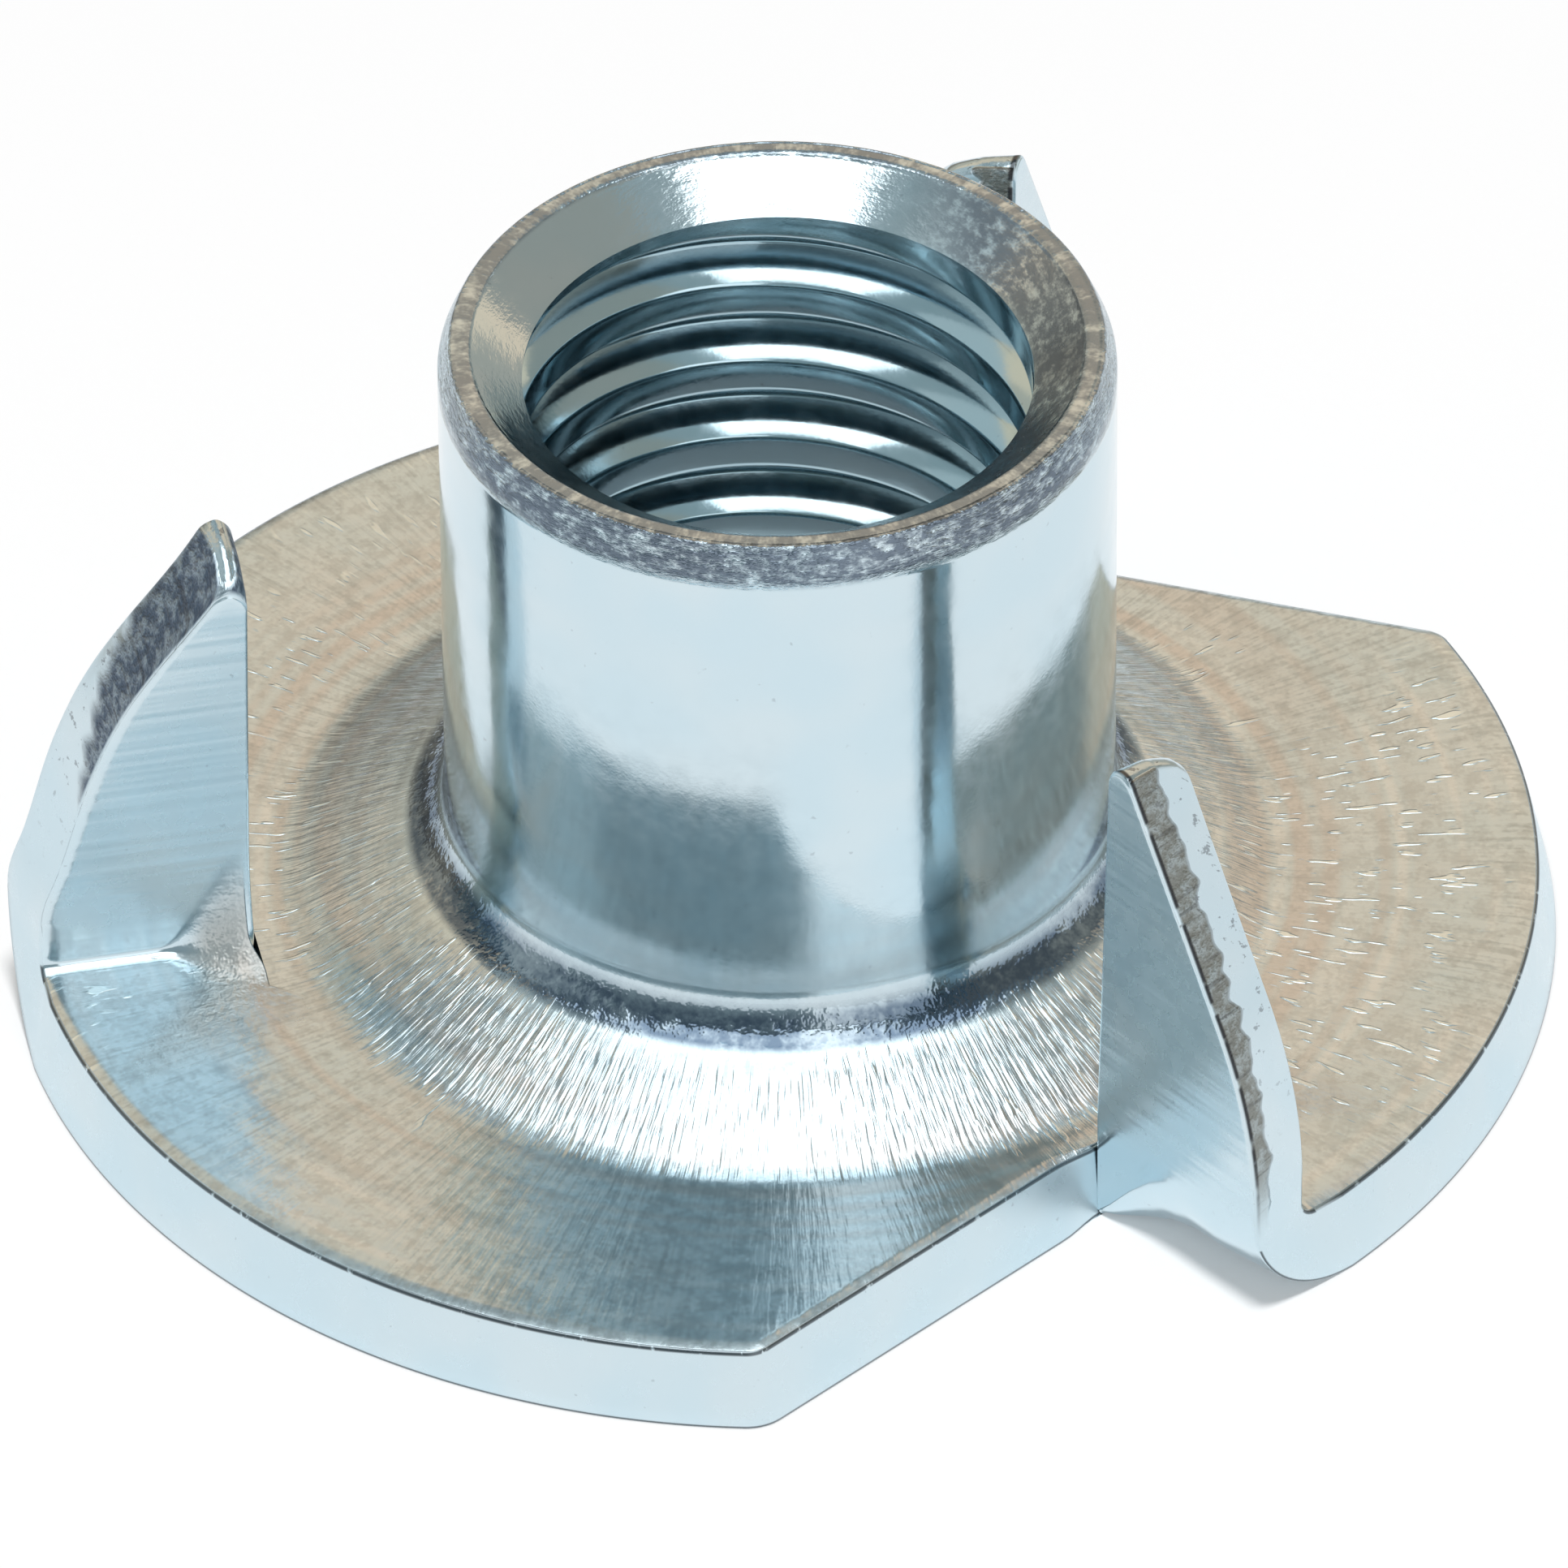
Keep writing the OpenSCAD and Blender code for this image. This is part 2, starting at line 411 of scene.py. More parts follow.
def slit_columns(prong):
    """The end of a slit, shared with its prong's inner edge, then its wall and its corner."""
    seam_y = [mix(BEND_Y, inner_start(FOLD_IN), h / SHEET_T) for h in SEAM_H]
    columns = [Column([prong.place(FOLD_IN + SEAM_D[j], seam_y[j], SEAM_H[j]) for j in ROWS],
                      SEAM_H)]
    # the wall is turned against the fold, and leaves the fold's frame some way from the seam
    sx = prong.x * math.cos(SLIT_TURN) + prong.y * math.sin(SLIT_TURN)
    sy = prong.y * math.cos(SLIT_TURN) - prong.x * math.sin(SLIT_TURN)
    corner_x = SLIT_R - SLIT_CORNER_R
    corner_y = -math.sqrt((RIM_R - SLIT_CORNER_R) ** 2 - corner_x ** 2)
    y0 = (BEND_Y - SLIT_R * math.sin(SLIT_TURN)) / math.cos(SLIT_TURN)
    for i in range(1, WALL_STEPS + 1):
        # the steps are shorter near the seam
        t = i / WALL_STEPS
        t = t * t * 0.5 + t * 0.5
        away = (y0 - corner_y) * t
        turned = ramp(away, *WALL_TURNS)
        leaned = ramp(away, *WALL_LEANS)
        straight = ramp(away, *WALL_STRAIGHTENS)
        rows = []
        for j in ROWS:
            seam_x = FOLD_IN + SEAM_D[j] - SEAM_GAP * ramp(away, 0, 0.2)
            near = prong.place(seam_x, mix(seam_y[j], BEND_Y, straight) - away, 0)
            far = sx * (SLIT_R - SLIT_D[j]) + sy * (y0 - away)
            rows.append(mix(near, far, turned) + UP * mix(SEAM_H[j], EDGE_H[j], leaned))
        columns.append(Column(rows, mix(SEAM_H, EDGE_H, leaned)))
    # the rounded corner, from the slit's bearing to that of the rim
    centre = sx * corner_x + sy * corner_y
    turn = math.atan2(corner_y, corner_x)
    for i in range(1, CORNER_STEPS + 1):
        a = turn * i / CORNER_STEPS
        out = sx * math.cos(a) + sy * math.sin(a)
        d = mix(SLIT_D, LEAN_D, i / CORNER_STEPS)
        columns.append(sheared(centre + out * SLIT_CORNER_R, -out, d))
    return columns


def rim_columns(first, prong):
    """The rim, clockwise from the point first to the next prong."""
    start = math.atan2(first[1], first[0])
    end = prong.bearing + math.atan2(BEND_Y, FOLD_OUT)
    while end > start:
        end -= math.tau
    columns = []
    for i in range(1, RIM_STEPS):
        a = start + (end - start) * i / RIM_STEPS
        out = np.array([math.cos(a), math.sin(a), 0])
        columns.append(sheared(out * RIM_R, -out, LEAN_D))
    return columns


def bend_columns(prong):
    """The bend's outer edge, which continues the rim."""
    columns = []
    for i in range(BEND_STEPS + 1):
        rows = []
        for j in ROWS:
            x = FOLD_OUT - LEAN_D[j]
            y, z = between_faces(i / BEND_STEPS, FOLD_OUT, x, EDGE_H[j] / SHEET_T)
            rows.append(prong.place(x, y, z))
        columns.append(Column(rows, EDGE_H))
    return columns


def blade_columns(prong, levels):
    """The blade's outer edge, its tip and its inner edge, which is square."""
    square_from = ARC_STEPS
    square_to = ARC_STEPS + RUN_STEPS + TIP_STEPS
    columns = []
    for n in range(len(levels[0])):
        h = mix(EDGE_H, SQUARE_H, ramp(n, square_from, square_to - square_from))
        rows = []
        for j in ROWS:
            x, z = levels[j][n]
            rows.append(prong.place(x, mix(BLADE_Y, inner_y(x, z), h[j] / SHEET_T), z))
        columns.append(Column(rows, h))
    return columns


def inner_bend_columns(prong, levels):
    """The bend's inner edge, down from the blade to the end of the slit."""
    columns = []
    for i in range(BEND_STEPS - 1, -1, -1):
        t = i / BEND_STEPS
        # the square section fades into the seam's, on each face at its own height
        square = ramp(inner_face(t, FOLD_IN)[1], 1.5, 0.5)
        square_low = ramp(outer_face(t, FOLD_IN)[1], 1.4, 0.5)
        h = mix(SEAM_H, SQUARE_H, square)
        rows = []
        for j in ROWS:
            seam_x = FOLD_IN + SEAM_D[j] + SQUARE_D[j] * (square if j > BURR_ROW else square_low)
            x = mix(seam_x, levels[j][-1][0], ramp(t, 0.3, 0.7))
            y, z = between_faces(t, FOLD_IN, x, h[j] / SHEET_T)
            rows.append(prong.place(x, y, z))
        columns.append(Column(rows, h))
    return columns


def add_strip(skin, columns):
    """The faces along a whole cut edge. Gives the vertex numbers of each column."""
    length = 0.0
    rows = []
    for n, column in enumerate(columns):
        if n:
            length += float(np.linalg.norm(column.base - columns[n - 1].base))
        rows.append([skin.point(column.rows[j], (length, column.h[j] / SHEET_T, CUT_MASK[j]))
                     for j in ROWS])
    skin.grid(rows)
    return rows


def add_prong_face(skin, prong, columns, rows, side, outer, inner, top):
    """One face of a prong: its bend, the foot of its blade, then the rest of the blade.

    side is its row of the cut edges. outer and inner number the columns on both ends of each row
    of the face, from the flange upwards, and top numbers the columns between the last of them.
    Gives the face's row on the flange.
    """
    face_rows = []
    for step, (a, b) in enumerate(zip(outer, inner)):
        pa, pb = columns[a].rows[side], columns[b].rows[side]
        xa, xb = float(np.dot(pa, prong.x)), float(np.dot(pb, prong.x))
        row = [rows[a][side]]
        for i in range(1, ACROSS_STEPS):
            t = slowing(i / ACROSS_STEPS)
            x = mix(xa, xb, t)
            if step <= BEND_STEPS:
                y, z = (inner_face if side == INNER_SIDE else outer_face)(step / BEND_STEPS, x)
            else:
                z = mix(pa[2], pb[2], t)
                y = inner_y(x, z) if side == INNER_SIDE else BLADE_Y
            opened = opened_out(x, z) if side == INNER_SIDE else 0.0
            row.append(skin.point(prong.place(x, y, z), opened=opened))
        row.append(rows[b][side])
        face_rows.append(row)
    skin.grid(face_rows)
    loop = face_rows[-1][::-1] + [rows[n][side] for n in top]
    skin.fill([loop], lambda p: (float(np.dot(p, prong.x)), p[2]))
    return face_rows[0]


def add_core(skin, core, ring_top, ring_low):
    """Joins the revolved middle to the two rings."""
    numbers = []
    for p in core["co"]:
        if math.hypot(p[0], p[1]) > RING_LOW_R - RING_WELD:
            ring = ring_top if p[2] > SHEET_T / 2 else ring_low
            i = int(round(math.atan2(p[1], p[0]) / math.tau * RING_STEPS)) % RING_STEPS
            numbers.append(ring[i])
        else:
            numbers.append(skin.point(p))
    for f in core["faces"]:
        if any(math.hypot(*core["co"][v][:2]) <= RING_LOW_R - RING_WELD for v in f):
            skin.face([numbers[v] for v in f])


def add_ring(skin, r, z):
    angles = [math.tau * i / RING_STEPS for i in range(RING_STEPS)]
    return [skin.point((r * math.cos(a), r * math.sin(a), z)) for a in angles]


def build_skin(core):
    skin = Skin()
    ring_top = add_ring(skin, RING_TOP_R, SHEET_T)
    ring_low = add_ring(skin, RING_LOW_R, 0.0)
    # The outlines of the flange's two faces. Each turn of the loop adds the stretch from a slit
    # to the next prong, and that prong.
    loops = {OUTER_SIDE: [], INNER_SIDE: []}
    for slit, prong in zip(PRONGS, PRONGS[1:] + PRONGS[:1]):
        columns = slit_columns(slit)
        columns += rim_columns(columns[-1].base, prong)
        flat_end = len(columns)
        columns += bend_columns(prong)
        blade_start = len(columns) - 1
        levels = [blade_level(prong, j) for j in ROWS]
        columns += blade_columns(prong, levels)
        blade_end = len(columns) - 1
        columns += inner_bend_columns(prong, levels)
        rows = add_strip(skin, columns)
        outer = range(flat_end, blade_start + FOOT_STEPS + 1)
        inner = range(len(columns) - 1, blade_end - FOOT_STEPS - 1, -1)
        top = range(blade_start + FOOT_STEPS + 1, blade_end - FOOT_STEPS)
        for side, loop in loops.items():
            flange_row = add_prong_face(skin, prong, columns, rows, side, outer, inner, top)
            loop += [rows[n][side] for n in range(flat_end)] + flange_row[:-1]
    inside = math.cos(math.pi / RING_STEPS)
    skin.fill([loops[INNER_SIDE], ring_top], lambda p: (p[0], p[1]), RING_TOP_R * inside)
    skin.fill([loops[OUTER_SIDE], ring_low], lambda p: (p[0], p[1]), RING_LOW_R * inside)
    add_core(skin, core, ring_top, ring_low)
    return skin


# ---------------------------------------------------------------- the revolved middle
def fillet(p, a, b, r, n):
    """Points of the arc of radius r that rounds the corner p between a and b."""
    p, a, b = np.array(p, float), np.array(a, float), np.array(b, float)
    u, v = (a - p) / np.linalg.norm(a - p), (b - p) / np.linalg.norm(b - p)
    half = math.acos(float(np.dot(u, v))) / 2
    c = p + (u + v) / np.linalg.norm(u + v) * r / math.sin(half)
    q0, q1 = p + u * r / math.tan(half), p + v * r / math.tan(half)
    a0 = math.atan2(*(q0 - c)[::-1])
    a1 = math.atan2(*(q1 - c)[::-1])
    while a1 - a0 > math.pi:
        a1 -= math.tau
    while a1 - a0 < -math.pi:
        a1 += math.tau
    angles = [a0 + (a1 - a0) * i / n for i in range(n + 1)]
    return [(c[0] + r * math.cos(a), c[1] + r * math.sin(a)) for a in angles]


def ladder(p, q, n):
    """Points that divide the straight run from p to q into n steps."""
    return [(p[0] + (q[0] - p[0]) * i / n, p[1] + (q[1] - p[1]) * i / n) for i in range(1, n)]


def core_profile():
    """Half section of the middle as radius and height, from the top ring to the low one."""
    rise = math.tan(SHOULDER_SLOPE)
    foot = (SHOULDER_R, SHEET_T)
    root = (BARREL_R, SHEET_T + rise * (SHOULDER_R - BARREL_R))
    lip = (BARREL_R, LIP_Z)
    lip_top = (LIP_R, TOP_Z)
    sink_top = (SINK_R, TOP_Z)
    sink_low = (BORE_R, TOP_Z + SINK_SLOPE * (BORE_R - SINK_R))
    drop = SHEET_T / math.cos(SHOULDER_SLOPE)
    hollow = (SHOULDER_R - (drop - SHEET_T) / rise, 0.0)
    mouth = (BORE_R, rise * (hollow[0] - BORE_R))
    p = [(RING_TOP_R, SHEET_T)]
    p += fillet(foot, (RIM_R, SHEET_T), root, SHOULDER_FILLET, 10)
    q = fillet(root, foot, lip, ROOT_FILLET, 12)
    p += ladder(p[-1], q[0], 8) + q
    p += ladder(p[-1], (BARREL_R, BARREL_TOP_Z), 16)
    p += fillet(lip, root, lip_top, LIP_FILLET, 4)
    p += fillet(lip_top, lip, sink_top, TOP_FILLET, 5)
    p += fillet(sink_top, lip_top, sink_low, SINK_FILLET, 5)
    p += ladder(p[-1], sink_low, 4) + [sink_low]
    q = fillet(mouth, sink_low, hollow, MOUTH_FILLET, 14)
    p += ladder(p[-1], q[0], 10) + q
    q = fillet(hollow, mouth, (RIM_R, 0), HOLLOW_FILLET, 8)
    p += ladder(p[-1], q[0], 8) + q
    p += [(RING_LOW_R, 0.0)]
    kept = [p[0]]
    for a in p[1:]:
        if math.hypot(a[0] - kept[-1][0], a[1] - kept[-1][1]) > SECTION_WELD:
            kept.append(a)
    return kept


def mesh_of(name, co, faces):
    mesh = bpy.data.meshes.new(name)
    mesh.from_pydata([tuple(c) for c in co], [], faces)
    mesh.update()
    return mesh


def face_outwards(mesh):
    """Turns all faces outwards and makes sure that the mesh is closed."""
    b = bmesh.new()
    b.from_mesh(mesh)
    bmesh.ops.recalc_face_normals(b, faces=b.faces)
    if any(len(e.link_faces) != 2 for e in b.edges):
        raise RuntimeError(mesh.name + " is open")
    b.to_mesh(mesh)
    b.free()


def closed_object(name, co, faces):
    mesh = mesh_of(name, co, faces)
    made = bpy.data.objects.new(name, mesh)
    bpy.context.scene.collection.objects.link(made)
    face_outwards(mesh)
    return made


def revolved(profile):
    n = len(profile)
    co, faces = [], []
    for i in range(RING_STEPS):
        a = math.tau * i / RING_STEPS
        co += [(r * math.cos(a), r * math.sin(a), z) for r, z in profile]
    for i in range(RING_STEPS):
        k = (i + 1) % RING_STEPS
        for j in range(n):
            m = (j + 1) % n
            faces.append((i * n + j, i * n + m, k * n + m, k * n + j))
    return closed_object("core", co, faces)


def tap():
    """A screw of the thread's own form, closed at both ends by a cone. Its turns fade to the
    minor radius towards the countersink."""
    per = len(TAP_ROWS)
    low = THREAD_START - TURNS_BELOW * PITCH - SHARE_BELOW * PITCH
    last = per * TAP_TURNS
    m = last + 1 + per
    co, faces = [], []
    for i in range(TAP_STEPS):
        a = math.tau * i / TAP_STEPS
        for j in range(m):
            z, r = TAP_ROWS[j % per]
            z += low + (j // per + i / TAP_STEPS) * PITCH
            if r > MINOR_R:
                r = mix(r, MINOR_R, smooth((z - THREAD_FADE) / FADE_LENGTH))
            co.append((r * math.cos(a), r * math.sin(a), z))
    for i in range(TAP_STEPS):
        k = (i + 1) % TAP_STEPS
        shift = per if k == 0 else 0
        for j in range(last):
            faces.append((i * m + j, k * m + j + shift, k * m + j + 1 + shift, i * m + j + 1))
    for j0, tip_z in ((0, low - CONE_LOW), (last, low + TAP_TURNS * PITCH + CONE_TOP)):
        centre = len(co)
        co.append((0, 0, tip_z))
        loop = [i * m + j0 for i in range(TAP_STEPS)] + [j0 + per]
        loop += [j0 + per - s for s in range(1, per + 1)]
        for a, b in zip(loop[:-1], loop[1:]):
            faces.append((centre, a, b) if j0 else (centre, b, a))
    used = sorted({v for f in faces for v in f})
    number = {v: i for i, v in enumerate(used)}
    return closed_object("tap", [co[v] for v in used],
                         [tuple(number[v] for v in f) for f in faces])


def make_core():
    """The threaded middle: the revolved section with the tap cut out of it."""
    core = revolved(core_profile())
    cutter = tap()
    cut = core.modifiers.new("tap", "BOOLEAN")
    cut.operation = "DIFFERENCE"
    cut.solver = "MANIFOLD"
    cut.object = cutter
    bpy.context.view_layer.update()
    seen = core.evaluated_get(bpy.context.evaluated_depsgraph_get())
    made = bpy.data.meshes.new_from_object(seen)
    result = {"co": [tuple(v.co) for v in made.vertices],
              "faces": [tuple(f.vertices) for f in made.polygons]}
    bpy.data.objects.remove(core)
    bpy.data.objects.remove(cutter)
    return result


def make_nut(skin):
    mesh = mesh_of("tee_nut_metal", skin.co, skin.faces)
    face_outwards(mesh)
    cut = mesh.attributes.new("cut", "FLOAT_VECTOR", "POINT")
    cut.data.foreach_set("vector", np.array(skin.cut, np.float32).ravel())
    opened = mesh.attributes.new("opened", "FLOAT", "POINT")
    opened.data.foreach_set("value", np.array(skin.opened, np.float32))
    mesh.transform(Matrix.Scale(MM, 4))
    mesh.polygons.foreach_set("use_smooth", [True] * len(mesh.polygons))
    mesh.set_sharp_from_angle(angle=SHARP)
    nut = bpy.data.objects.new("tee_nut_metal", mesh)
    bpy.context.scene.collection.objects.link(nut)
    normals = nut.modifiers.new("normals", "WEIGHTED_NORMAL")
    normals.keep_sharp = True
    normals.weight = 50
    return nut


# ---------------------------------------------------------------- the plating, with painted shade and reflections
# linear colours: the zinc, then what lies over it, and painted shade and reflections
BLUISH = (0.60, 0.735, 0.80)
SILVER = (0.64, 0.75, 0.80)
YELLOWED = (0.62, 0.56, 0.52)
PALE = (0.78, 0.84, 0.86)
STREAK = (0.30, 0.36, 0.38)
MOTTLE = (0.34, 0.38, 0.40)
DASH = (0.84, 0.97, 1.0)
# painted dark reflection: a patchy dark band in the fillet at the barrel's root
ROOT_DARK_REFLECTION = (0.07, 0.11, 0.17)
WORN = (0.10, 0.13, 0.18)
# painted shade: a darker teal for the whole bore, the colour of its shade
BORE_SHADE_TINT = (0.25, 0.52, 0.62)
BORE_SHADE = (0.10, 0.17, 0.21)
# painted reflection: beige-grey on the opened-out end of a bend's inner face
OPENED_PAINTED_REFLECTION = (0.58, 0.52, 0.45)
SPECK = (0.12, 0.13, 0.15)
TORN = (0.24, 0.25, 0.23)
# painted shade: the same torn metal, darker, for the left prong
TORN_IN_SHADE = (0.07, 0.10, 0.15)
CROSS_MARK = (0.06, 0.06, 0.06)
CRACK = (0.03, 0.03, 0.035)
# painted dark reflection along the rim's roll, and painted shade along its foot
RIM_PAINTED_DARK_LINES = (0.04, 0.05, 0.06)
PIT = (0.30, 0.36, 0.40)
WHITE = (1, 1, 1)


class Wires:
    """Short names for the nodes of one material or world. A value is a socket, a number or a
    colour."""

    def __init__(self, owner):
        owner.use_nodes = True
        self.tree = owner.node_tree
        self.tree.nodes.clear()

    def node(self, kind):
        return self.tree.nodes.new(kind)

    def put(self, socket, value):
        if isinstance(value, bpy.types.NodeSocket):
            self.tree.links.new(value, socket)
        else:
            socket.default_value = (*value, 1) if isinstance(value, tuple) else value

    def math(self, kind, *values):
        n = self.node("ShaderNodeMath")
        n.operation = kind
        for socket, value in zip(n.inputs, values):
            self.put(socket, value)
        return n.outputs[0]

    def add(self, first, *others):
        for value in others:
            first = self.math("ADD", first, value)
        return first

    def mul(self, first, *others):
        for value in others:
            first = self.math("MULTIPLY", first, value)
        return first

    def step(self, value, low, high, a=0.0, b=1.0):
        """Goes smoothly from a to b while value goes from low to high."""
        n = self.node("ShaderNodeMapRange")
        n.interpolation_type = "SMOOTHSTEP"
        self.put(n.inputs["Value"], value)
        self.put(n.inputs["From Min"], low)
        self.put(n.inputs["From Max"], high)
        self.put(n.inputs["To Min"], a)
        self.put(n.inputs["To Max"], b)
        return n.outputs["Result"]

    def band(self, value, low, high, soft):
        """1 between low and high, with soft ends."""
        return self.mul(self.step(value, low - soft, low + soft),
                        self.step(value, high - soft, high + soft, 1.0, 0.0))

    def vector(self, x, y, z):
        n = self.node("ShaderNodeCombineXYZ")
        for socket, value in zip(n.inputs, (x, y, z)):
            self.put(socket, value)
        return n.outputs[0]

    def split(self, vector):
        n = self.node("ShaderNodeSeparateXYZ")
        self.put(n.inputs[0], vector)
        return n.outputs

    def attribute(self, name, output):
        n = self.node("ShaderNodeAttribute")
        n.attribute_name = name
        return n.outputs[output]

    def noise(self, vector, scale, detail, rough):
        n = self.node("ShaderNodeTexNoise")
        self.put(n.inputs["Vector"], vector)
        self.put(n.inputs["Scale"], scale)
        self.put(n.inputs["Detail"], detail)
        self.put(n.inputs["Roughness"], rough)
        return n.outputs["Fac"]

    def streaks(self, a, a_scale, b, b_scale, third, detail, rough):
        """Noise over the measures a and b, each with a scale of its own."""
        vector = self.vector(self.mul(a, a_scale), self.mul(b, b_scale), third)
        return self.noise(vector, 1.0, detail, rough)

    def mix(self, share, a, b):
        """The colour a, turned into b as far as share says."""
        n = self.node("ShaderNodeMix")
        n.data_type = "RGBA"
        self.put(n.inputs["Factor"], share)
        self.put(n.inputs["A"], a)
        self.put(n.inputs["B"], b)
        return n.outputs["Result"]

    def seen(self):
        """1 for a ray from the camera or by way of a mirror or glass, else 0."""
        path = self.node("ShaderNodeLightPath")
        mirrored = self.math("MAXIMUM", path.outputs["Is Glossy Ray"],
                             path.outputs["Is Transmission Ray"])
        return self.math("MAXIMUM", path.outputs["Is Camera Ray"], mirrored)

    def surface(self, shader, kind="ShaderNodeOutputMaterial"):
        self.put(self.node(kind).inputs["Surface"], shader.outputs[0])


def find_measures(w, s):
    """Where a point lies: in mm, round the axis and on a cut edge."""
    where = w.node("ShaderNodeTexCoord")
    scale = w.node("ShaderNodeVectorMath")
    scale.operation = "SCALE"
    w.put(scale.inputs[0], where.outputs["Object"])
    w.put(scale.inputs["Scale"], 1 / MM)
    s.p = scale.outputs[0]
    s.x, s.y, s.z = w.split(s.p)
    s.r = w.math("SQRT", w.add(w.mul(s.x, s.x), w.mul(s.y, s.y)))
    s.turn = w.math("ARCTAN2", s.x, w.mul(s.y, -1.0))
    s.facing_up = w.split(where.outputs["Normal"])["Z"]
    s.along, s.height, share = w.split(w.attribute("cut", "Vector"))
    s.mask = w.step(share, 0.45, 0.9)
    s.off = w.step(s.mask, 1.0, 0.0)
    s.opened = w.attribute("opened", "Fac")


def find_places(w, s):
    """How much a point belongs to each place, from 0 to 1. The limits are in mm."""
    s.plate = w.mul(w.step(s.r, 5.9, 6.3), w.step(s.z, 2.9, 2.6), w.step(s.z, 0.9, 1.2), s.off,
                    w.step(s.facing_up, 0.55, 0.8))
    s.shoulder = w.mul(s.plate, w.band(s.r, 6.4, 8.2, 0.25))
    s.foot = w.mul(w.band(s.r, 5.56, 6.08, 0.10), w.step(s.z, 3.6, 3.2))
    s.lip = w.mul(w.step(s.r, 5.18, 5.28), w.step(s.z, 11.40, 11.62))
    s.brim = w.mul(w.step(s.z, 12.11, 12.16), w.step(s.r, 4.9, 5.0))
    s.sink = w.mul(w.step(s.z, 11.35, 11.6), w.step(s.r, 5.02, 4.96))
    s.bore = w.mul(w.step(s.r, 4.9, 4.85), w.step(s.z, 11.6, 11.3))
    s.blade = w.mul(w.step(s.z, 1.7, 2.2), w.step(s.r, 8.4, 8.6), s.off)
    # on the cut edges: a prong's edge, its tip and the rim
    s.tall = w.mul(w.step(s.z, 1.6, 3.5), s.mask)
    s.tip = w.mul(s.tall, w.step(s.facing_up, 0.58, 0.80))
    s.low_rim = w.mul(s.mask, w.step(s.z, 1.5, 1.45))
    s.front = w.step(s.y, 0.5, -3.5)
    s.left = w.step(s.x, -4.0, -6.0)
    # height through the sheet, which the left prong counts from its other face
    s.through = w.add(w.mul(s.left, w.add(w.mul(s.height, -2.0), 1.0)), s.height)


def find_patterns(w, s):
    """Marks all over: the drawing die's scratches, dashes and rings, clouds, flecks and grain."""
    s.fine = w.streaks(s.turn, 60.0, s.r, 0.8, 3.0, 2.0, 0.65)
    s.hair = w.streaks(s.turn, 120.0, s.r, 0.55, 8.0, 1.0, 0.6)
    s.ring = w.streaks(s.turn, 0.5, s.r, 3.0, 5.0, 0.0, 0.4)
    s.draw = w.streaks(s.z, 4.2, s.turn, 1.5, 1.0, 1.0, 0.5)
    s.cloud = w.noise(s.p, 0.32, 1.0, 0.5)
    s.lump = w.noise(s.p, 0.55, 1.0, 0.5)
    s.blotch = w.noise(s.p, 2.6, 2.0, 0.6)
    s.fleck = w.noise(s.p, 5.0, 2.0, 0.7)
    s.grain = w.noise(s.p, 12.0, 1.0, 0.6)
    dash = w.step(w.streaks(s.turn, 75.0, s.r, 1.5, 9.0, 1.0, 0.5), 0.60, 0.70)
    s.dash = w.mul(dash, w.step(s.cloud, 0.40, 0.56), w.step(s.y, -8.5, -5.5))


def find_damage(w, s):
    """Metal torn by the shear on the prongs' edges, and wear round the barrel's lip."""
    s.torn = w.streaks(s.along, 4.0, s.height, 4.0, 7.0, 3.0, 0.7)
    s.ragged = w.noise(w.vector(w.mul(s.along, 2.0), 0.0, 4.0), 1.0, 1.0, 0.6)
    limit = w.add(w.mul(s.left, w.step(s.z, 3.4, 8.4, -0.4, 0.65)),
                  w.step(s.z, 1.0, 9.0, 0.30, 0.52), w.mul(w.add(s.ragged, -0.5), 0.45))
    full = w.add(limit, w.step(s.left, 0.0, 1.0, -0.07, -0.30))
    s.torn_zone = w.mul(s.tall, w.step(s.through, limit, full), w.step(s.through, 0.03, 0.08),
                        w.step(s.tip, 0.0, 1.0, 1.0, 0.1))
    s.rub = w.streaks(s.turn, 14.0, s.z, 9.0, s.r, 3.0, 0.75)
    worn = w.add(w.mul(s.lip, w.add(0.35, w.mul(s.front, 0.65))),
                 w.mul(s.sink, w.step(s.x, 1.8, 3.4, 0.0, 0.85)))
    worn = w.math("MAXIMUM", worn, w.mul(s.brim, 0.75))
    s.worn = w.mul(worn, w.step(w.add(w.mul(s.rub, 0.6), w.mul(s.fleck, 0.4)), 0.32, 0.56))


def relief(w, s):
    """Height in thousandths of a millimetre."""
    scratched = w.add(w.mul(s.fine, w.add(w.mul(s.plate, 9.0), w.mul(s.shoulder, 24.0))),
                      w.mul(s.dash, s.plate, 12.0))
    return w.add(w.mul(scratched, w.step(s.r, 11.95, 12.1, 1.0, 0.3)),
                 w.mul(s.fleck, s.opened, 55.0),
                 w.mul(s.ring, s.plate, 14.0),
                 w.mul(s.lump, 22.0),
                 w.mul(s.grain, s.off, w.add(0.6, w.mul(s.plate, 1.1))),
                 w.mul(s.draw, s.blade, 18.0),
                 w.mul(s.torn, s.torn_zone, 110.0),
                 w.mul(s.rub, w.add(s.lip, w.mul(s.brim, 0.35), w.mul(s.sink, 0.12)), 60.0),
                 w.mul(s.fleck, s.foot, 22.0))


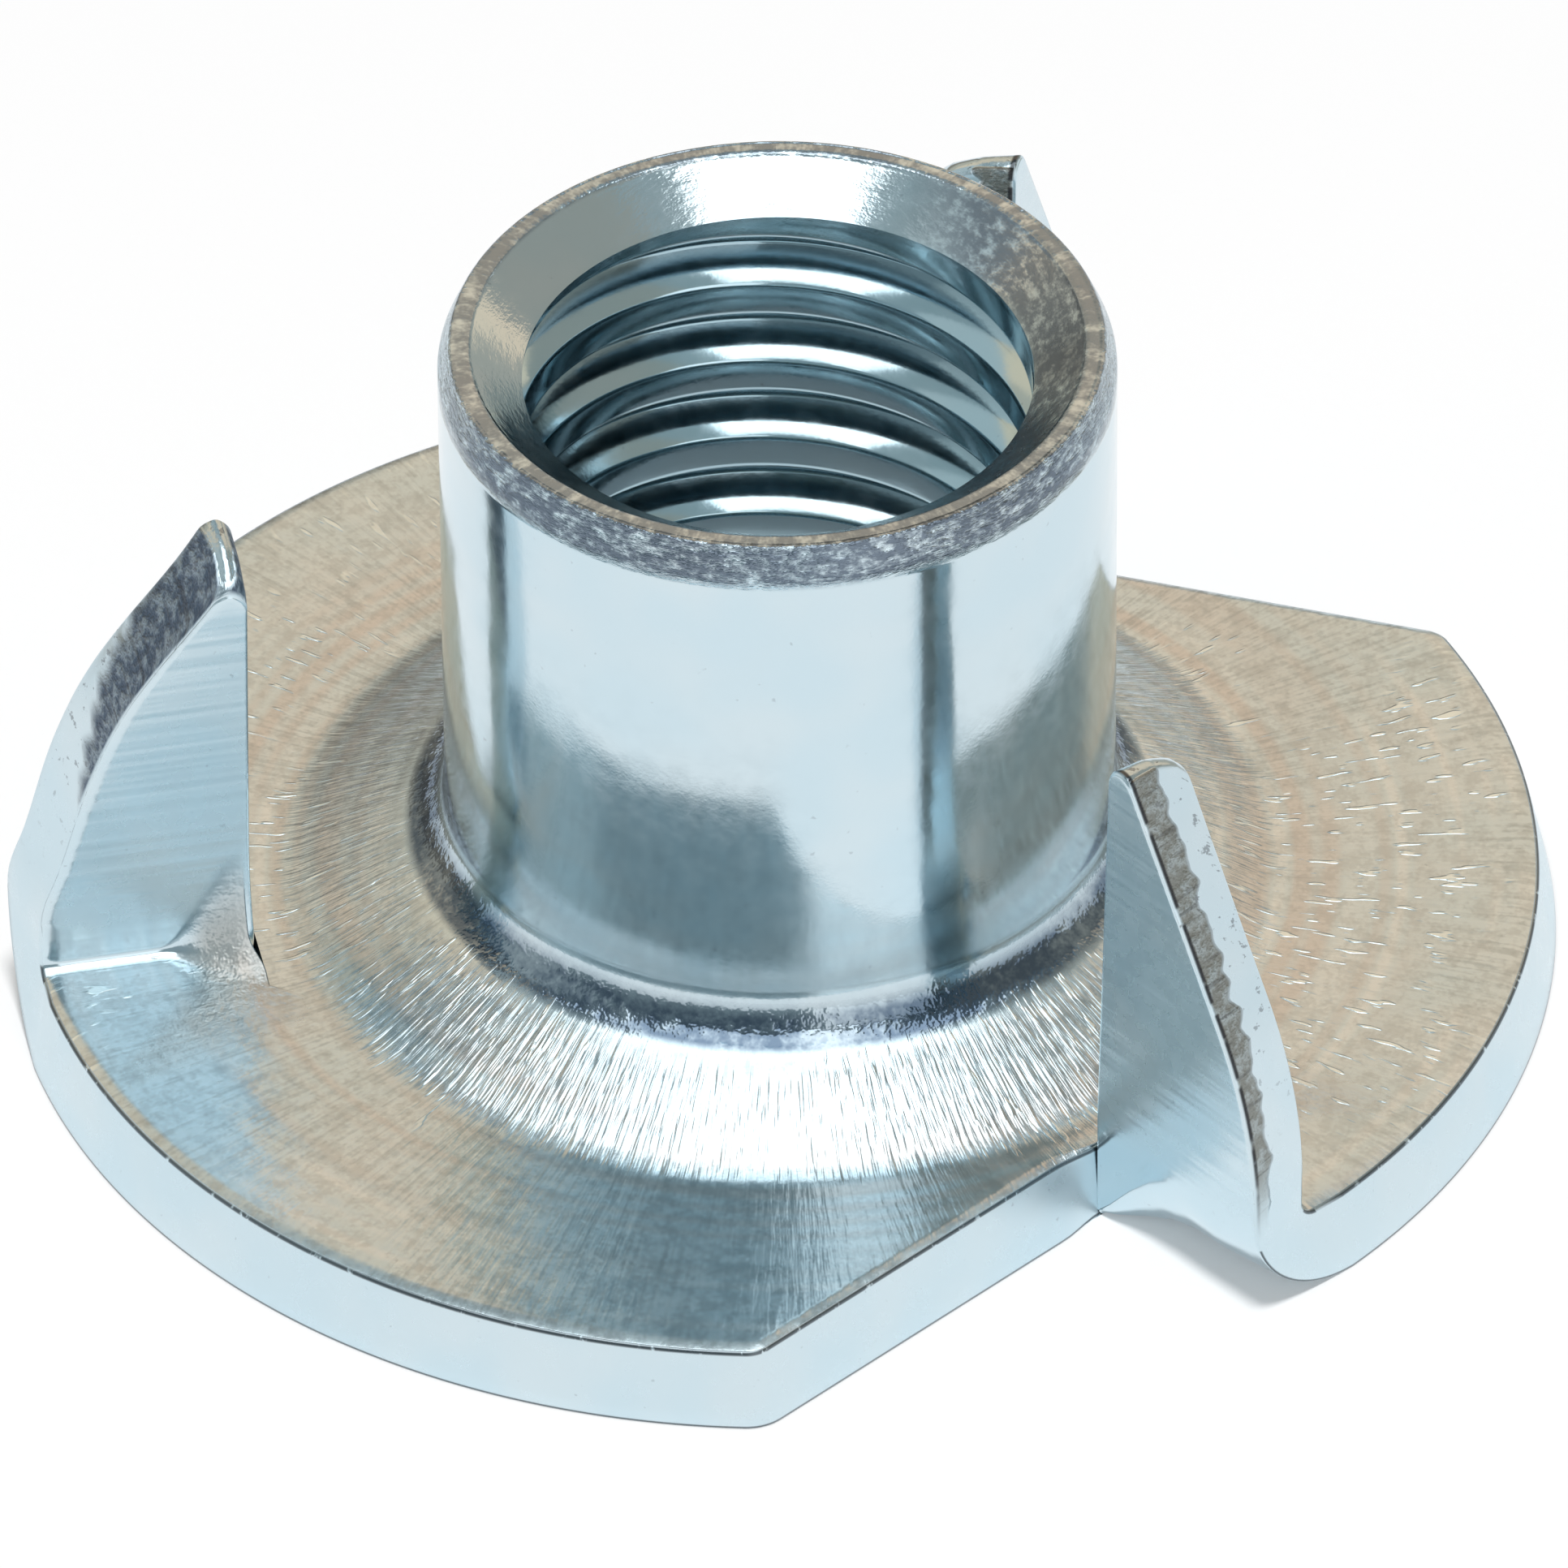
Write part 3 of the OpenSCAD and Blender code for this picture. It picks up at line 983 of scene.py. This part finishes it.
def body_coats_and_shade(w, s):
    """What lies over the zinc of the flange, the barrel and the bore, and painted shade and
    reflections there: shares and colours.
    """
    warm = w.mul(w.band(s.r, 6.8, 10.2, 1.2), s.plate, w.step(s.ring, 0.35, 0.70))
    pale = w.mul(s.plate, w.step(s.ring, 0.50, 0.25), w.step(s.cloud, 0.35, 0.6))
    streak = w.mul(w.step(s.cloud, 0.62, 0.40, 0.25, 1.0),
                   w.step(w.add(w.mul(s.hair, 0.5), w.mul(s.fleck, 0.5)), 0.56, 0.36))
    mottle = w.step(w.add(w.mul(s.blotch, 0.7), w.mul(s.grain, 0.3)), 0.56, 0.38)
    # painted dark reflection in the fillet at the barrel's root, made patchy by noise
    root_reflection = w.step(w.add(w.mul(s.fleck, 0.4), w.mul(s.lump, 0.6)), 0.66, 0.40, 0.45, 0.92)
    shade = w.add(w.mul(w.step(s.facing_up, -0.25, -0.6), 0.75),
                  w.mul(w.step(s.r, 4.45, 4.75), 0.45))
    return [(w.mul(warm, 0.50), YELLOWED),
            (w.mul(pale, 0.5), PALE),
            (w.mul(streak, s.plate, 0.42), STREAK),
            (w.mul(s.plate, mottle, 0.30), MOTTLE),
            (w.mul(s.dash, s.plate, 0.8), DASH),
            # painted dark reflection at the barrel's root
            (w.mul(s.foot, root_reflection), ROOT_DARK_REFLECTION),
            (w.mul(s.worn, 0.88), WORN),
            # painted shade: the bore tinted darker and teal
            (w.mul(s.bore, 0.30), BORE_SHADE_TINT),
            # painted reflection: the opened-out end of the bend tinted beige-grey
            (w.mul(s.opened, 0.55), OPENED_PAINTED_REFLECTION),
            (w.mul(s.bore, shade), BORE_SHADE)]


def edge_coats_and_shade(w, s):
    """What lies over the cut edges, and painted shade and dark reflections on them, in the same
    way.
    """
    specks = w.mul(w.step(s.torn, 0.60, 0.66), w.step(s.z, 2.5, 6.0), s.mask)
    cross = w.step(w.streaks(s.along, 7.0, s.height, 0.6, 11.0, 2.0, 0.6), 0.56, 0.62)
    crack = w.mul(s.tall, w.step(s.left, 1.0, 0.0), w.band(s.through, 0.035, 0.10, 0.02),
                  w.step(s.ragged, 0.38, 0.46))
    # painted dark reflection: a dotted dark line along the roll of the low rim
    roll_dark_reflection = w.mul(s.low_rim, w.band(s.height, 0.925, 0.965, 0.012), w.step(s.torn, 0.30, 0.42))
    # painted shade: a dark line along the foot of the low rim, where it meets the floor
    foot_shade_line = w.mul(s.low_rim, w.step(s.height, 0.05, 0.025))
    return [(w.mul(specks, 0.6), SPECK),
            # torn metal; on the left prong it is painted darker, as painted shade
            (w.mul(s.torn_zone, w.step(s.torn, 0.66, 0.42, 0.55, 0.95)),
             w.mix(s.left, TORN, TORN_IN_SHADE)),
            (w.mul(s.torn_zone, cross, 0.4), CROSS_MARK),
            (w.mul(crack, 0.9), CRACK),
            (w.mul(w.add(roll_dark_reflection, foot_shade_line), 0.85), RIM_PAINTED_DARK_LINES)]


def colour_of(w, s):
    """Bluish zinc under its coats and painted shade, and small pits over everything."""
    pits = w.mul(w.step(s.fleck, 0.70, 0.78), 0.4)
    colour = w.mix(w.step(s.lump, 0.35, 0.7), BLUISH, SILVER)
    for share, coat in body_coats_and_shade(w, s) + edge_coats_and_shade(w, s) + [(pits, PIT)]:
        colour = w.mix(share, colour, coat)
    return colour


def roughness(w, s):
    return w.add(0.13,
                 w.mul(s.plate, 0.10),
                 w.mul(s.blade, 0.14),
                 w.mul(s.mask, w.step(s.tip, 0.0, 1.0, 0.16, 0.04)),
                 w.mul(s.torn_zone, 0.20),
                 w.mul(s.worn, 0.15),
                 w.mul(s.opened, 0.25),
                 w.mul(w.add(s.blotch, -0.5), 0.16))


def zinc_material():
    made = bpy.data.materials.new("zinc_plating")
    w = Wires(made)
    # s holds the sockets of all measures, places and patterns
    s = SimpleNamespace()
    find_measures(w, s)
    find_places(w, s)
    find_patterns(w, s)
    find_damage(w, s)
    bump = w.node("ShaderNodeBump")
    w.put(bump.inputs["Distance"], MM / 1000)
    w.put(bump.inputs["Strength"], 1.0)
    w.put(bump.inputs["Height"], relief(w, s))
    metal = w.node("ShaderNodeBsdfPrincipled")
    w.put(metal.inputs["Base Color"], colour_of(w, s))
    w.put(metal.inputs["Metallic"], 1.0)
    w.put(metal.inputs["Roughness"], roughness(w, s))
    w.put(metal.inputs["Normal"], bump.outputs["Normal"])
    w.surface(metal)
    return made


# ---------------------------------------------------------------- stage, in metres and degrees
FLOOR_HALF = 2
FLOOR_COLOUR = (0.9, 0.9, 0.9)
FLOOR_GLOW = 0.12
WORLD_LIGHT = 0.38

# The cards stand on a ring round the nut, and each spans some bearings and elevations. Two more
# hang level above it.
CARD_RING_R = 0.5
RING_CARDS = (
    ("card_back", 100, 160, 30, 60, (0.86, 0.68, 0.50), 1.05),
    ("card_back_mid", 100, 160, 14, 30, (0.60, 0.53, 0.43), 1.0),
    ("card_back_right", 40, 100, 14, 60, (0.90, 0.70, 0.52), 1.05),
    ("card_back_low", 90, 160, 0.5, 14, (0.30, 0.26, 0.21), 1.0),
    ("card_back_right_low", 30, 90, 0.5, 14, (0.46, 0.43, 0.37), 1.0),
    ("card_left", 160, 205, 14, 56, (0.55, 0.60, 0.60), 1.0),
    ("card_front_left", -155, -118, 14, 50, (0.30, 0.36, 0.38), 1.0),
    ("card_front", -118, -80, 14, 50, (0.30, 0.36, 0.38), 1.0),
    ("card_front_right", -80, -36, 14, 50, (1.0, 1.0, 1.0), 1.3),
    ("card_right", -36, 40, 14, 56, (0.38, 0.37, 0.33), 1.0),
)
LEVEL_CARDS = (
    ("card_top", -0.25, 0.235, -0.33, 0.16, 0.6, WHITE, 2.3),
    ("card_dim", -0.6, 0.6, -0.6, 0.6, 0.62, (0.34, 0.40, 0.41), 1.0),
)

LAMP_PLACE = (0, -0.16, 0.6)
LAMP_SIZE = 0.12
LAMP_POWER = 2.5


def level(x0, x1, y0, y1, z):
    return [(x0, y0, z), (x1, y0, z), (x1, y1, z), (x0, y1, z)]


def on_ring(bearing, elevation):
    a = math.radians(bearing)
    return (CARD_RING_R * math.cos(a), CARD_RING_R * math.sin(a),
            CARD_RING_R * math.tan(math.radians(elevation)))


def add_sheet(name, corners, material):
    sheet = bpy.data.objects.new(name, mesh_of(name, corners, [(0, 1, 2, 3)]))
    sheet.data.materials.append(material)
    bpy.context.scene.collection.objects.link(sheet)
    return sheet


def floor_material():
    """Pale and matt, with a slight glow for the eye and for mirrors."""
    made = bpy.data.materials.new("floor")
    made.cycles.emission_sampling = "NONE"
    w = Wires(made)
    matt = w.node("ShaderNodeBsdfDiffuse")
    w.put(matt.inputs["Color"], FLOOR_COLOUR)
    glow = w.node("ShaderNodeEmission")
    w.put(glow.inputs["Color"], WHITE)
    w.put(glow.inputs["Strength"], w.mul(w.seen(), FLOOR_GLOW))
    both = w.node("ShaderNodeAddShader")
    w.put(both.inputs[0], matt.outputs[0])
    w.put(both.inputs[1], glow.outputs[0])
    w.surface(both)
    return made


def glowing(name, colour, strength):
    made = bpy.data.materials.new(name)
    made.cycles.emission_sampling = "NONE"
    w = Wires(made)
    glow = w.node("ShaderNodeEmission")
    w.put(glow.inputs["Color"], colour)
    w.put(glow.inputs["Strength"], strength)
    w.surface(glow)
    return made


def add_card(name, corners, colour, strength):
    """A card that shows in reflections only."""
    card = add_sheet(name, corners, glowing(name, colour, strength))
    card.visible_camera = False
    card.visible_diffuse = False
    card.visible_shadow = False


def set_world():
    """White for the eye and for mirrors, and a plain soft light for everything else."""
    made = bpy.data.worlds.new("world")
    bpy.context.scene.world = made
    w = Wires(made)
    both = w.node("ShaderNodeMixShader")
    w.put(both.inputs["Fac"], w.seen())
    for socket, strength in ((both.inputs[1], WORLD_LIGHT), (both.inputs[2], 1.0)):
        light = w.node("ShaderNodeBackground")
        w.put(light.inputs["Color"], WHITE)
        w.put(light.inputs["Strength"], strength)
        w.put(socket, light.outputs[0])
    w.surface(both, "ShaderNodeOutputWorld")


def add_lamp():
    data = bpy.data.lights.new("overhead", "AREA")
    data.shape = "DISK"
    data.size = LAMP_SIZE
    data.energy = LAMP_POWER
    lamp = bpy.data.objects.new("overhead", data)
    lamp.location = LAMP_PLACE
    lamp.visible_glossy = False
    bpy.context.scene.collection.objects.link(lamp)


# ---------------------------------------------------------------- camera, in metres and degrees
# It first looks at the origin from this elevation and distance, and is then turned by three
# small angles. All were solved from the photograph.
CAMERA_ELEVATION = 39.611
CAMERA_DISTANCE = 0.423946
CAMERA_PAN = -0.0083
CAMERA_TILT = 0.3112
CAMERA_ROLL = 0.3987
# focal length and image width in pixels, and the width of the sensor in mm
FOCAL_PX = 31850.3
IMAGE_PX = 1932
SENSOR = 36


def turned(v, axis, degrees):
    a = math.radians(degrees)
    return (v * math.cos(a) + np.cross(axis, v) * math.sin(a)
            + axis * np.dot(axis, v) * (1 - math.cos(a)))


def add_camera():
    a = math.radians(CAMERA_ELEVATION)
    place = np.array([0, -math.cos(a), math.sin(a)]) * CAMERA_DISTANCE
    ahead = -place / CAMERA_DISTANCE
    right = np.array([1.0, 0, 0])
    up = np.cross(right, ahead)
    ahead, right = turned(ahead, up, CAMERA_PAN), turned(right, up, CAMERA_PAN)
    ahead, up = turned(ahead, right, CAMERA_TILT), turned(up, right, CAMERA_TILT)
    right, up = turned(right, ahead, CAMERA_ROLL), turned(up, ahead, CAMERA_ROLL)
    data = bpy.data.cameras.new("camera")
    data.sensor_width = SENSOR
    data.lens = FOCAL_PX * SENSOR / IMAGE_PX
    data.clip_start = 0.01
    data.clip_end = 10
    camera = bpy.data.objects.new("camera", data)
    rows = [(right[i], up[i], -ahead[i], place[i]) for i in range(3)]
    camera.matrix_world = Matrix(rows + [(0, 0, 0, 1)])
    bpy.context.scene.collection.objects.link(camera)
    bpy.context.scene.camera = camera


# ---------------------------------------------------------------- the scene
nut = make_nut(build_skin(make_core()))
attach(nut, "root")
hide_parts("tee_nut")
nut.data.materials.append(zinc_material())

add_sheet("floor", level(-FLOOR_HALF, FLOOR_HALF, -FLOOR_HALF, FLOOR_HALF, 0), floor_material())
for name, az0, az1, el0, el1, colour, strength in RING_CARDS:
    corners = [on_ring(az0, el0), on_ring(az1, el0), on_ring(az1, el1), on_ring(az0, el1)]
    add_card(name, corners, colour, strength)
for name, x0, x1, y0, y1, z, colour, strength in LEVEL_CARDS:
    add_card(name, level(x0, x1, y0, y1, z), colour, strength)
set_world()
add_lamp()
add_camera()
bpy.context.scene.view_settings.view_transform = "Standard"
